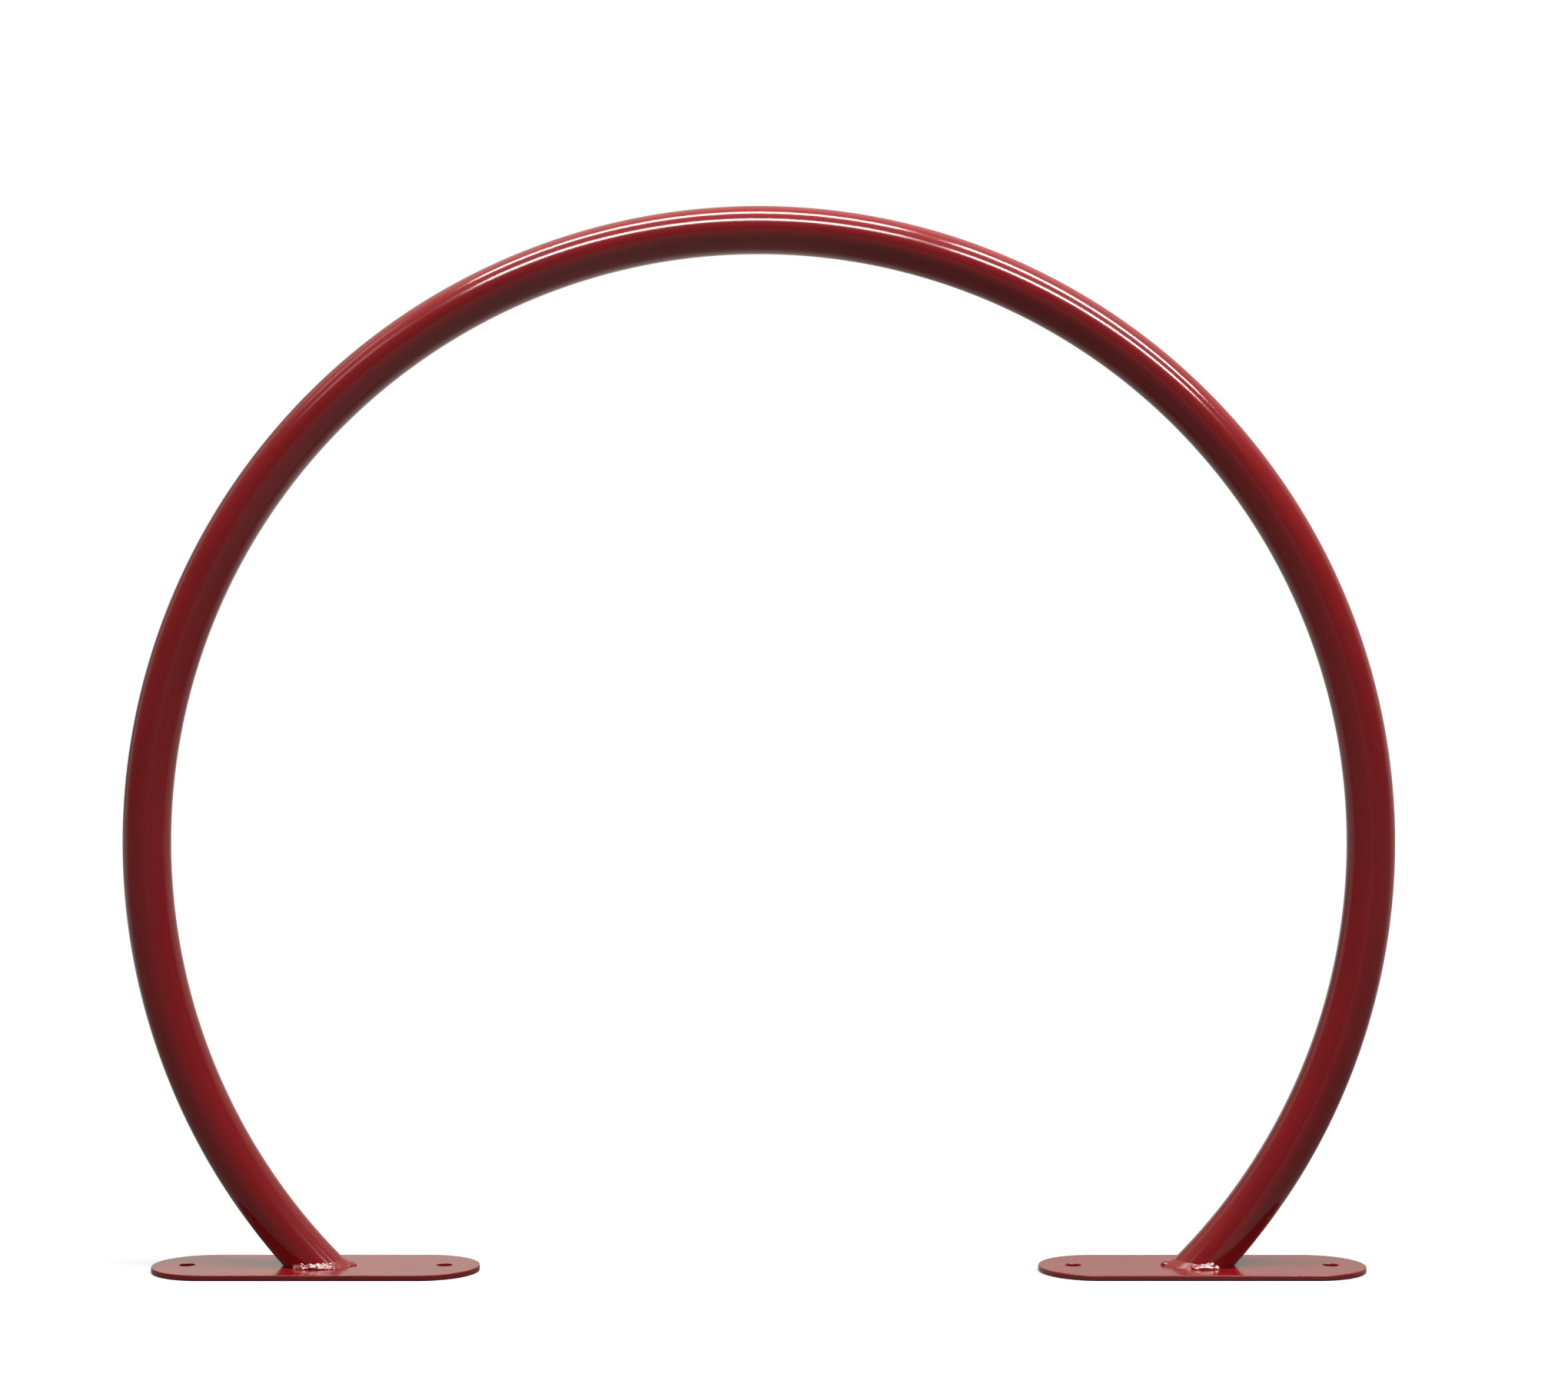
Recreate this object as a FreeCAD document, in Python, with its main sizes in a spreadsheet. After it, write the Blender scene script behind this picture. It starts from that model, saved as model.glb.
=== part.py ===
import FreeCAD, Part
import os
import sys

import Sketcher

# Hoop bike rack: a round tube rolled into most of a circle, each end welded to a flat base plate.
# Millimetres, +Z up. The origin is on the ground, midway between the plates, and the hoop lies in the
# XZ plane, with "left" on the -X side.

# Driving sizes: name, value, meaning.
SIZES = [
    ("hoop_radius", 542, "radius of the tube's centreline"),
    ("centre_rise", 374, "height of the hoop's centre above the plates' top"),
    ("tube_diameter", 42.4, "outside diameter of the tube"),
    ("tube_wall", 3.2, "wall of the tube"),
    ("plate_length", 290, "base plate, end to end"),
    ("plate_width", 100, "base plate, front to back"),
    ("plate_thickness", 5, "base plate"),
    ("plate_edge_radius", 1, "rounding of the plate's top and bottom edges"),
    ("hole_diameter", 14, "hole for an anchor bolt"),
    ("hole_end_distance", 31, "from the plate's end to the hole's centre"),
    ("weld_leg", 7, "reach of the weld bead on the plate, and its height"),
    ("weld_bulge", 1.2, "how far the bead's face stands out halfway up"),
]

# Places that follow from them: a foot's distance from the middle, and the height of the hoop's centre.
FOOT_OFFSET = "sqrt(Sizes.hoop_radius ^ 2 - Sizes.centre_rise ^ 2)"
HOOP_CENTRE_Z = "Sizes.plate_thickness + Sizes.centre_rise"

PARTS_FOLDER = "parts"
LEFT = -1
RIGHT = 1
SIDES = {"left": LEFT, "right": RIGHT}

doc = FreeCAD.newDocument("hoop_bike_rack")


def make_sheet():
    """The spreadsheet that every feature reads its sizes from."""
    sheet = doc.addObject("Spreadsheet::Sheet", "Sizes")
    for row, (alias, value, meaning) in enumerate(SIZES, start=1):
        sheet.set(f"A{row}", meaning)
        sheet.set(f"B{row}", str(value))
        sheet.setAlias(f"B{row}", alias)
    doc.recompute()
    return sheet




def origin_plane(body, role):
    """One of a body's own origin planes."""
    return next(feature for feature in body.Origin.OriginFeatures if feature.Role == role)


def new_sketch(body, name, role, lift=None):
    """A sketch on one of the body's origin planes, raised along its normal by an expression."""
    sketch = body.newObject("Sketcher::SketchObject", name)
    sketch.AttachmentSupport = (origin_plane(body, role), [""])
    sketch.MapMode = "FlatFace"
    if lift:
        sketch.setExpression("AttachmentOffset.Base.z", lift)
    return sketch


def drive(sketch, constraint, name, expression):
    """Adds a dimension to a sketch and binds it to the spreadsheet."""
    index = sketch.addConstraint(constraint)
    sketch.renameConstraint(index, name)
    sketch.setExpression(f"Constraints.{name}", expression)


def draw_circle(sketch, name, radius):
    """A circle centred on the sketch's vertical axis, with its radius driven. Returns its index."""
    circle = sketch.addGeometry(Part.Circle(FreeCAD.Vector(0, 1, 0), FreeCAD.Vector(0, 0, 1), 1), False)
    drive(sketch, Sketcher.Constraint("Radius", circle, 1.0), name, radius)
    return circle


def draw_obround(sketch, length, width):
    """A slot shape about the sketch's origin, long in X, with full-round ends."""
    up = FreeCAD.Vector(0, 0, 1)
    right_centre = FreeCAD.Vector(2, 0, 0)
    left_centre = FreeCAD.Vector(-2, 0, 0)
    quarter = FreeCAD.Units.Quantity("90 deg").getValueAs("rad").Value
    back = sketch.addGeometry(Part.LineSegment(FreeCAD.Vector(-2, 1, 0), FreeCAD.Vector(2, 1, 0)), False)
    right = sketch.addGeometry(Part.ArcOfCircle(Part.Circle(right_centre, up, 1), -quarter, quarter), False)
    front = sketch.addGeometry(Part.LineSegment(FreeCAD.Vector(2, -1, 0), FreeCAD.Vector(-2, -1, 0)), False)
    left = sketch.addGeometry(Part.ArcOfCircle(Part.Circle(left_centre, up, 1), quarter, 3 * quarter), False)
    sketch.addConstraint(Sketcher.Constraint("Tangent", back, 2, right, 2))
    sketch.addConstraint(Sketcher.Constraint("Tangent", right, 1, front, 1))
    sketch.addConstraint(Sketcher.Constraint("Tangent", front, 2, left, 2))
    sketch.addConstraint(Sketcher.Constraint("Tangent", left, 1, back, 1))
    sketch.addConstraint(Sketcher.Constraint("Equal", right, left))
    sketch.addConstraint(Sketcher.Constraint("Horizontal", back))
    sketch.addConstraint(Sketcher.Constraint("Symmetric", right, 3, left, 3, -1, 1))
    drive(sketch, Sketcher.Constraint("Radius", right, 1.0), "end_radius", f"{width} / 2")
    drive(
        sketch,
        Sketcher.Constraint("DistanceX", left, 3, right, 3, 4.0),
        "centre_distance",
        f"{length} - {width}",
    )


def make_hoop_tube():
    """The tube: a ring of hollow section about the hoop's centre, cut flat where it stands on the plates."""
    body = doc.addObject("PartDesign::Body", "HoopTube")
    body.Label = "hoop_tube"
    body.setExpression("Placement.Base.z", HOOP_CENTRE_Z)

    section = new_sketch(body, "tube_section", "YZ_Plane")
    outside = draw_circle(section, "outer_radius", "Sizes.tube_diameter / 2")
    inside = draw_circle(section, "inner_radius", "Sizes.tube_diameter / 2 - Sizes.tube_wall")
    section.addConstraint(Sketcher.Constraint("Coincident", inside, 3, outside, 3))
    section.addConstraint(Sketcher.Constraint("PointOnObject", outside, 3, -2))
    drive(
        section,
        Sketcher.Constraint("DistanceY", -1, 1, outside, 3, 1.0),
        "hoop_radius",
        "Sizes.hoop_radius",
    )
    doc.recompute()

    ring = body.newObject("PartDesign::Revolution", "rolled_ring")
    ring.Profile = section
    ring.ReferenceAxis = (section, ["H_Axis"])
    ring.Angle = 360
    doc.recompute()
    ring_volume = ring.Shape.Volume

    below = new_sketch(body, "below_the_plates_top", "XY_Plane", "-Sizes.centre_rise")
    draw_obround(below, "4 * Sizes.hoop_radius", "4 * Sizes.tube_diameter")
    foot_cut = body.newObject("PartDesign::Pocket", "foot_cut")
    foot_cut.Profile = below
    foot_cut.Type = "ThroughAll"
    doc.recompute()
    if not foot_cut.Shape.Volume < ring_volume:
        raise RuntimeError("the foot cut removed nothing from the ring")
    return body


def outline_edges(shape, thickness):
    """Names of a plate's edges along its top and bottom outlines, where the holes aren't cut yet."""
    names = []
    for number, edge in enumerate(shape.Edges, start=1):
        box = edge.BoundBox
        if box.ZLength < thickness / 2:
            names.append(f"Edge{number}")
    return names


def make_base_plate(side_name, side, sheet):
    """A flat plate with full-round ends, softened edges and an anchor hole near each end."""
    body = doc.addObject("PartDesign::Body", f"BasePlate{side_name.title()}")
    body.Label = f"base_plate_{side_name}"
    body.setExpression("Placement.Base.x", f"{side} * {FOOT_OFFSET}")

    outline = new_sketch(body, f"plate_outline_{side_name}", "XY_Plane")
    draw_obround(outline, "Sizes.plate_length", "Sizes.plate_width")
    plate = body.newObject("PartDesign::Pad", f"plate_{side_name}")
    plate.Profile = outline
    plate.setExpression("Length", "Sizes.plate_thickness")
    doc.recompute()

    edges = body.newObject("PartDesign::Fillet", f"softened_edges_{side_name}")
    edges.Base = (plate, outline_edges(plate.Shape, float(sheet.plate_thickness)))
    edges.setExpression("Radius", "Sizes.plate_edge_radius")
    doc.recompute()

    centre = new_sketch(body, f"hole_centre_{side_name}", "XY_Plane", "Sizes.plate_thickness")
    circle = centre.addGeometry(Part.Circle(FreeCAD.Vector(1, 0, 0), FreeCAD.Vector(0, 0, 1), 1), False)
    centre.addConstraint(Sketcher.Constraint("PointOnObject", circle, 3, -1))
    drive(centre, Sketcher.Constraint("Diameter", circle, 2.0), "hole_diameter", "Sizes.hole_diameter")
    drive(
        centre,
        Sketcher.Constraint("DistanceX", -1, 1, circle, 3, 1.0),
        "from_the_middle",
        "Sizes.plate_length / 2 - Sizes.hole_end_distance",
    )
    doc.recompute()

    hole = body.newObject("PartDesign::Hole", f"anchor_hole_{side_name}")
    hole.Profile = centre
    hole.ThreadType = "None"
    hole.HoleCutType = "None"
    hole.DepthType = "ThroughAll"
    hole.DrillPoint = "Flat"
    hole.setExpression("Diameter", "Sizes.hole_diameter")
    doc.recompute()

    pair = body.newObject("PartDesign::Mirrored", f"second_hole_{side_name}")
    pair.Originals = [hole]
    pair.MirrorPlane = (origin_plane(body, "YZ_Plane"), [""])
    body.Tip = pair
    doc.recompute()
    if not pair.Shape.Volume < hole.Shape.Volume < edges.Shape.Volume:
        raise RuntimeError(f"an anchor hole is missing on the {side_name} plate")
    return body


def tube_side(lift, which):
    """X of the right foot's outer (+1) or inner (-1) side, at a height above the plates' top."""
    radius = f"(Sizes.hoop_radius + ({which}) * Sizes.tube_diameter / 2)"
    return f"sqrt({radius} ^ 2 - (Sizes.centre_rise - {lift}) ^ 2)"


def make_bead_section(name, lift, growth):
    """An ellipse round the tube's right foot, at a height above the plates' top and grown outwards."""
    ellipse = doc.addObject("Part::Ellipse", name)
    outer = tube_side(lift, 1)
    inner = tube_side(lift, -1)
    ellipse.setExpression("MajorRadius", f"({outer} - {inner}) / 2 + {growth}")
    ellipse.setExpression("MinorRadius", f"Sizes.tube_diameter / 2 + {growth}")
    ellipse.setExpression("Placement.Base.x", f"({outer} + {inner}) / 2")
    ellipse.setExpression("Placement.Base.z", f"Sizes.plate_thickness + {lift}")
    return ellipse


def make_weld(side_name, side):
    """The bead all round a foot: a collar that runs into the tube's wall, trimmed by the tube's outside."""
    toe = make_bead_section(f"bead_toe_{side_name}", "0", "Sizes.weld_leg")
    face = make_bead_section(
        f"bead_face_{side_name}",
        "Sizes.weld_leg / 2",
        "(Sizes.weld_leg - Sizes.tube_wall / 2) / 2 + Sizes.weld_bulge",
    )
    top = make_bead_section(f"bead_top_{side_name}", "Sizes.weld_leg", "-Sizes.tube_wall / 2")
    collar = doc.addObject("Part::Loft", f"bead_blank_{side_name}")
    collar.Sections = [toe, face, top]
    collar.Solid = True
    collar.Ruled = False

    rod = doc.addObject("Part::Torus", f"tube_outside_{side_name}")
    rod.setExpression("Radius1", "Sizes.hoop_radius")
    rod.setExpression("Radius2", "Sizes.tube_diameter / 2")
    rod.Placement.Rotation = FreeCAD.Rotation(FreeCAD.Vector(1, 0, 0), 90)
    rod.setExpression("Placement.Base.z", HOOP_CENTRE_Z)

    bead = doc.addObject("Part::Cut", f"Weld{side_name.title()}")
    bead.Label = f"weld_{side_name}"
    bead.Base = collar
    bead.Tool = rod
    if side == LEFT:
        # Both feet are alike, so the left bead is the right one after half a turn about the middle.
        bead.Placement.Rotation = FreeCAD.Rotation(FreeCAD.Vector(0, 0, 1), 180)
    doc.recompute()
    return bead


def check(sub_parts):
    """Stops before anything is written if an object failed or a sub-part isn't a sound solid."""
    for item in doc.Objects:
        if any(state in ("Invalid", "Error") for state in item.State):
            sys.exit(f"{item.Name} failed: {item.State}")
    for part in sub_parts:
        if part.Shape.isNull() or not part.Shape.isValid() or not part.Shape.Solids:
            sys.exit(f"{part.Label} has no valid solid")


def main():
    sheet = make_sheet()
    sub_parts = [make_hoop_tube()]
    for side_name, side in SIDES.items():
        sub_parts.append(make_base_plate(side_name, side, sheet))
        sub_parts.append(make_weld(side_name, side))
    doc.recompute()
    check(sub_parts)

    os.makedirs(PARTS_FOLDER, exist_ok=True)
    for part in sub_parts:
        part.Shape.exportStep(os.path.join(PARTS_FOLDER, f"{part.Label}.step"))
        box = part.Shape.optimalBoundingBox()
        print(
            f"{part.Label}: {len(part.Shape.Solids)} solid, {part.Shape.Volume / 1000:.1f} cm3, "
            f"X {box.XMin:.2f} to {box.XMax:.2f}, Y {box.YMin:.2f} to {box.YMax:.2f}, "
            f"Z {box.ZMin:.2f} to {box.ZMax:.2f}"
        )


main()
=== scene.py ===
import math
import random

import bmesh
import bpy
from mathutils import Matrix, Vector


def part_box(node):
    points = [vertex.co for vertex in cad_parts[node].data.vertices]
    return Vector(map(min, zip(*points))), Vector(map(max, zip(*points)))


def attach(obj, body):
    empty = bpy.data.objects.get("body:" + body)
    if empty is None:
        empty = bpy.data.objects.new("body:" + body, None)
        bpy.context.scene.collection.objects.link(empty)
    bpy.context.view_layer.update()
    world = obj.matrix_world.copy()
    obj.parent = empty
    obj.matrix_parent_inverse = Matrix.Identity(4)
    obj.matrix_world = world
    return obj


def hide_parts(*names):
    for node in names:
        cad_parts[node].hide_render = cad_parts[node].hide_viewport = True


bl_info = {
    "name": "Hoop Bike Rack",
    "version": (1, 0, 0),
    "blender": (4, 5, 0),
    "location": "3D View > Sidebar > Bike Rack",
    "description": "Dresses a hoop bike rack: bent tube, base plates, weld beads, red enamel "
    "and a plain studio",
    "category": "Add Mesh",
}

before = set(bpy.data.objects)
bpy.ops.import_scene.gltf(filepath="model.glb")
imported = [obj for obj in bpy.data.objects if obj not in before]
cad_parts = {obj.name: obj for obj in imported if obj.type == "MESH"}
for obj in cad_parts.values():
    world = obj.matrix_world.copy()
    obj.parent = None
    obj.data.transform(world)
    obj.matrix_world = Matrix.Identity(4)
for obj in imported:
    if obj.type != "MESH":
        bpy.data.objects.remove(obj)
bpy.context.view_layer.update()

BODY = "root"
LEFT = -1
RIGHT = 1
SIDES = {"left": LEFT, "right": RIGHT}
FRONT = -1
BACK = 1
MM = 0.001

# What the frame says of the tube: its own radius, its centreline's radius and the height of the hoop's centre.
TUBE_LOW, TUBE_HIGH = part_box("hoop_tube")
TUBE_RADIUS = (TUBE_HIGH.y - TUBE_LOW.y) / 2
HOOP_RADIUS = (TUBE_HIGH.x - TUBE_LOW.x) / 2 - TUBE_RADIUS
HOOP_CENTRE_Z = TUBE_HIGH.z - TUBE_RADIUS - HOOP_RADIUS

# What it says of a base plate, which lies flat with its middle under the foot.
PLATE_LOW, PLATE_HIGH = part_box("base_plate_right")
PLATE_TOP = PLATE_HIGH.z
PLATE_CENTRE_X = (PLATE_LOW.x + PLATE_HIGH.x) / 2

# Points nearer than this are merged, and only those nearer than the second where narrow faces have to stay.
MERGE = 0.00001
FINE_MERGE = 0.000001

# Faces that meet at less than this are shaded as one surface. On a bead all of them are.
SMOOTH_ANGLE = math.radians(35)
SMOOTH_ALL = math.radians(180)


class TubeSettings(bpy.types.PropertyGroup):
    """Sizes of the bent tube that the frame doesn't give."""

    wall: bpy.props.FloatProperty(
        name="Wall", description="Thickness of the tube's wall", default=3.2 * MM, unit="LENGTH", min=0.5 * MM
    )
    sides: bpy.props.IntProperty(
        name="Sides", description="Faces round the tube's section", default=72, min=12
    )
    steps: bpy.props.IntProperty(
        name="Steps", description="Faces along the whole hoop", default=400, min=24
    )


class PlateSettings(bpy.types.PropertyGroup):
    """Sizes of a base plate's holes and edges."""

    hole_diameter: bpy.props.FloatProperty(
        name="Hole diameter", description="Hole for an anchor bolt", default=14 * MM, unit="LENGTH", min=MM
    )
    hole_end_distance: bpy.props.FloatProperty(
        name="Hole to end", description="From the plate's end to the hole's centre", default=31 * MM,
        unit="LENGTH", min=MM,
    )
    edge_radius: bpy.props.FloatProperty(
        name="Edge radius", description="Rounding of every edge", default=1.0 * MM, unit="LENGTH",
        min=0.1 * MM,
    )
    end_segments: bpy.props.IntProperty(
        name="End segments", description="Faces round a quarter of the plate's end", default=24, min=4
    )


class WeldSettings(bpy.types.PropertyGroup):
    """Sizes of the hand-made bead round each foot."""

    leg_up: bpy.props.FloatProperty(
        name="Leg up the tube", description="How far the bead climbs the tube", default=3.6 * MM,
        unit="LENGTH", min=MM,
    )
    leg_out: bpy.props.FloatProperty(
        name="Leg on the plate", description="How far the bead spreads on the plate", default=3.8 * MM,
        unit="LENGTH", min=MM,
    )
    pitch: bpy.props.FloatProperty(
        name="Pitch", description="Step from one ripple of the bead to the next", default=2.6 * MM,
        unit="LENGTH", min=MM,
    )
    unevenness: bpy.props.FloatProperty(
        name="Unevenness", description="How much the ripples differ", default=0.28, min=0.0, max=0.5
    )
    lumps: bpy.props.IntProperty(
        name="Lumps", description="Small lumps heaped on the front of each bead, and on its back", default=30,
        min=0,
    )
    spatter: bpy.props.IntProperty(
        name="Spatter", description="Drops of metal left beside each bead", default=2, min=0
    )
    voxel: bpy.props.FloatProperty(
        name="Voxel", description="Grid that the drops are melted together on", default=0.35 * MM,
        unit="LENGTH", min=0.2 * MM,
    )
    seed: bpy.props.IntProperty(name="Seed", description="Picks the bead's irregularities", default=7)


class EnamelSettings(bpy.types.PropertyGroup):
    """Colour and gloss of the red enamel."""

    red: bpy.props.FloatVectorProperty(
        name="Red", description="Colour of the enamel", subtype="COLOR", size=3, min=0, max=1,
        default=(0.310, 0.0090, 0.0135),
    )
    deep_red: bpy.props.FloatVectorProperty(
        name="Deep red", description="Colour where the enamel lies thicker", subtype="COLOR", size=3,
        min=0, max=1, default=(0.270, 0.0078, 0.0118),
    )
    # Painted shade: the dark colour that the plates' edge is darkened towards near the ground.
    painted_shade: bpy.props.FloatVectorProperty(
        name="Dust", description="Colour of the dust along the plates' lower edge", subtype="COLOR", size=3,
        min=0, max=1, default=(0.035, 0.010, 0.008),
    )
    roughness: bpy.props.FloatProperty(
        name="Roughness", description="Blur of the enamel's gloss", subtype="FACTOR", default=0.12,
        min=0, max=1,
    )


class StageSettings(bpy.types.PropertyGroup):
    """The camera, lamps and floor of the plain studio."""

    photo_width: bpy.props.IntProperty(
        name="Photo width", description="In pixels", default=2040, subtype="PIXEL"
    )
    photo_height: bpy.props.IntProperty(
        name="Photo height", description="In pixels", default=1800, subtype="PIXEL"
    )
    hoop_centre_x: bpy.props.FloatProperty(
        name="Hoop centre across", description="Where the photograph has the hoop's centre", default=987.3,
        subtype="PIXEL",
    )
    hoop_centre_y: bpy.props.FloatProperty(
        name="Hoop centre down", description="Where the photograph has the hoop's centre", default=1095.5,
        subtype="PIXEL",
    )
    hoop_radius_px: bpy.props.FloatProperty(
        name="Hoop radius", description="The hoop's centreline in the photograph", default=796.2,
        subtype="PIXEL",
    )
    camera_distance: bpy.props.FloatProperty(
        name="Camera distance", description="From the camera to the hoop's plane", default=2.727,
        unit="LENGTH",
    )
    lamp_height: bpy.props.FloatProperty(
        name="Lamp height", description="The strip lamps above the floor", default=3.1, unit="LENGTH"
    )
    panel_height: bpy.props.FloatProperty(
        name="Panel height", description="The soft panels above the floor, clear of the strip lamps",
        default=3.25, unit="LENGTH",
    )
    floor_bounce: bpy.props.FloatProperty(
        name="Floor bounce", description="Light that the floor throws up on the rack", default=0.2, min=0
    )


def settings(name):
    """One of the add-on's groups of settings."""
    return getattr(bpy.context.scene, name)


def in_object_mode():
    """Leaves edit mode and deselects everything."""
    if bpy.context.object and bpy.context.object.mode != "OBJECT":
        bpy.ops.object.mode_set(mode="OBJECT")
    bpy.ops.object.select_all(action="DESELECT")


def activate(piece):
    """Leaves edit mode and selects one piece alone."""
    in_object_mode()
    bpy.context.view_layer.objects.active = piece
    piece.select_set(True)


def new_piece(name):
    """Names the primitive that was just added, and puts its place into its mesh."""
    piece = bpy.context.object
    piece.name = name
    piece.data.name = name
    bpy.ops.object.transform_apply(location=True, rotation=True, scale=True)
    return piece


def edit(piece):
    """Opens one piece in edit mode, with nothing selected."""
    activate(piece)
    bpy.ops.object.mode_set(mode="EDIT")
    bpy.ops.mesh.select_all(action="DESELECT")


def select_where(piece, kind, test):
    """In edit mode, selects only the verts, edges or faces that pass a test."""
    bpy.ops.mesh.select_mode(type={"verts": "VERT", "edges": "EDGE", "faces": "FACE"}[kind])
    bpy.ops.mesh.select_all(action="DESELECT")
    mesh = bmesh.from_edit_mesh(piece.data)
    for element in getattr(mesh, kind):
        if test(element):
            element.select_set(True)
    mesh.select_flush_mode()
    bmesh.update_edit_mesh(piece.data)


def close_edit(merge=MERGE):
    """Merges doubled points, turns the faces outwards and leaves edit mode."""
    bpy.ops.mesh.select_all(action="SELECT")
    bpy.ops.mesh.remove_doubles(threshold=merge)
    bpy.ops.mesh.normals_make_consistent(inside=False)
    bpy.ops.object.mode_set(mode="OBJECT")


def apply_modifier(piece, kind, **options):
    """Adds one modifier to a piece and applies it."""
    modifier = piece.modifiers.new(kind.lower(), kind)
    for name, value in options.items():
        setattr(modifier, name, value)
    bpy.context.view_layer.objects.active = piece
    bpy.ops.object.modifier_apply(modifier=modifier.name)


def cut_away(piece, cutter, solver):
    """Takes a cutter's shape out of a piece, and the cutter out of the scene."""
    in_object_mode()
    apply_modifier(piece, "BOOLEAN", object=cutter, operation="DIFFERENCE", solver=solver)
    bpy.data.objects.remove(cutter)


def finish_piece(piece, node, material, smooth_angle=SMOOTH_ANGLE):
    """Shades a piece, dresses it, and lets it stand for its CAD node."""
    activate(piece)
    bpy.ops.object.shade_smooth_by_angle(angle=smooth_angle)
    piece.data.materials.clear()
    piece.data.materials.append(material)
    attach(piece, BODY)
    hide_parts(node)


class Value:
    """A shader socket that Python's operators work on, each adding its Math node."""

    def __init__(self, shader, socket):
        self.shader = shader
        self.socket = socket

    def maths(self, operation, *others):
        """This value and others through one Math node."""
        values = dict(enumerate([self, *others]))
        return self.shader.value("ShaderNodeMath", {"operation": operation}, values)

    def __add__(self, other):
        return self.maths("ADD", other)

    __radd__ = __add__

    def __mul__(self, other):
        return self.maths("MULTIPLY", other)

    __rmul__ = __mul__

    def __sub__(self, other):
        return self.maths("SUBTRACT", other)

    def __rsub__(self, other):
        return self.shader.value("ShaderNodeMath", {"operation": "SUBTRACT"}, {0: other, 1: self})

    def __truediv__(self, other):
        return self.maths("DIVIDE", other)

    def __pow__(self, other):
        return self.maths("POWER", other)


class Shader:
    """The nodes of one material or world."""

    def __init__(self, tree):
        self.tree = tree
        self.tree.nodes.clear()

    def node(self, kind, options=None, values=None):
        """A new node: its settings, which are set first, and the values or links of its sockets."""
        made = self.tree.nodes.new(kind)
        for name, option in (options or {}).items():
            setattr(made, name, option)
        for key, value in (values or {}).items():
            if isinstance(value, Value):
                self.tree.links.new(value.socket, made.inputs[key])
            else:
                made.inputs[key].default_value = value
        return made

    def value(self, kind, options=None, values=None, output=0):
        """One output of a new node."""
        return Value(self, self.node(kind, options, values).outputs[output])

    def place(self, coordinates="Object"):
        """Where a point lies on its piece, or with "Generated" the direction that a world is seen in."""
        return self.value("ShaderNodeTexCoord", output=coordinates)

    def rays(self):
        """The Light Path node, whose outputs tell what kind of ray has arrived."""
        outputs = self.node("ShaderNodeLightPath").outputs
        return {output.name: Value(self, output) for output in outputs}

    def smooth_step(self, value, low, high):
        """0 where a value is below low, 1 where it is above high, and a smooth rise between."""
        return self.value(
            "ShaderNodeMapRange",
            {"interpolation_type": "SMOOTHSTEP"},
            {"Value": value, "From Min": low, "From Max": high},
        )

    def noise(self, vector, scale, detail=2.0, roughness=0.5):
        """Cloudy noise from 0 to 1, whose scale is in waves to the metre where the vector is a place."""
        return self.value(
            "ShaderNodeTexNoise",
            {},
            {"Vector": vector, "Scale": scale, "Detail": detail, "Roughness": roughness},
        )

    def vector(self, x, y, z):
        """Three values as one vector."""
        return self.value("ShaderNodeCombineXYZ", {}, {"X": x, "Y": y, "Z": z})

    def axes(self, vector):
        """The three values of a vector."""
        parts = self.node("ShaderNodeSeparateXYZ", {}, {"Vector": vector})
        return [Value(self, output) for output in parts.outputs]

    def mix(self, factor, first, second):
        """A colour between two."""
        return self.value(
            "ShaderNodeMix", {"data_type": "RGBA"}, {"Factor": factor, 6: first, 7: second}, output=2
        )

    def glow(self, colour, strength):
        """A surface that shines by itself."""
        return self.value("ShaderNodeEmission", {}, {"Color": colour, "Strength": strength})

    def mix_surfaces(self, factor, first, second):
        """A surface between two."""
        return self.value("ShaderNodeMixShader", {}, {0: factor, 1: first, 2: second})


def rgba(colour):
    """A colour property with full alpha."""
    return (*colour, 1.0)


# How the enamel and its pooled second layer bend light, and how much a thick film adds to the gloss's blur.
ENAMEL_IOR = 1.5
POOLED_IOR = 1.7
THICK_FILM_BLUR = 0.02

# The enamel's surface: how many waves there are to the metre, and how high they stand.
ORANGE_PEEL_SCALE = 420.0
ORANGE_PEEL_HEIGHT = 0.0012 * MM
PLATE_SAG_SCALE = 30.0
PLATE_SAG_HEIGHT = 0.02 * MM
TUBE_SAG_SCALE = 55.0
TUBE_SAG_HEIGHT = 0.5 * PLATE_SAG_HEIGHT
BEAD_SKIN_SCALE = 420.0
BEAD_SKIN_HEIGHT = 0.05 * MM
STREAK_HEIGHT = 0.006 * MM

# The streaks' noise runs over the tube's unit section and the turn along the hoop, in radians. The turn counts
# for less, so the noise is drawn out along the tube.
STREAK_SCALE = 9.0
STREAK_SHORTENING = 0.35

# Where the film lies thick and where the gloss is dull: how many patches there are to the metre.
TUBE_FILM_SCALE = 14.0
PLATE_FILM_SCALE = 38.0
BEAD_FILM_SCALE = 160.0
PLATE_DULL_SCALE = 60.0
BEAD_DULL_SCALE = 250.0


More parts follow.
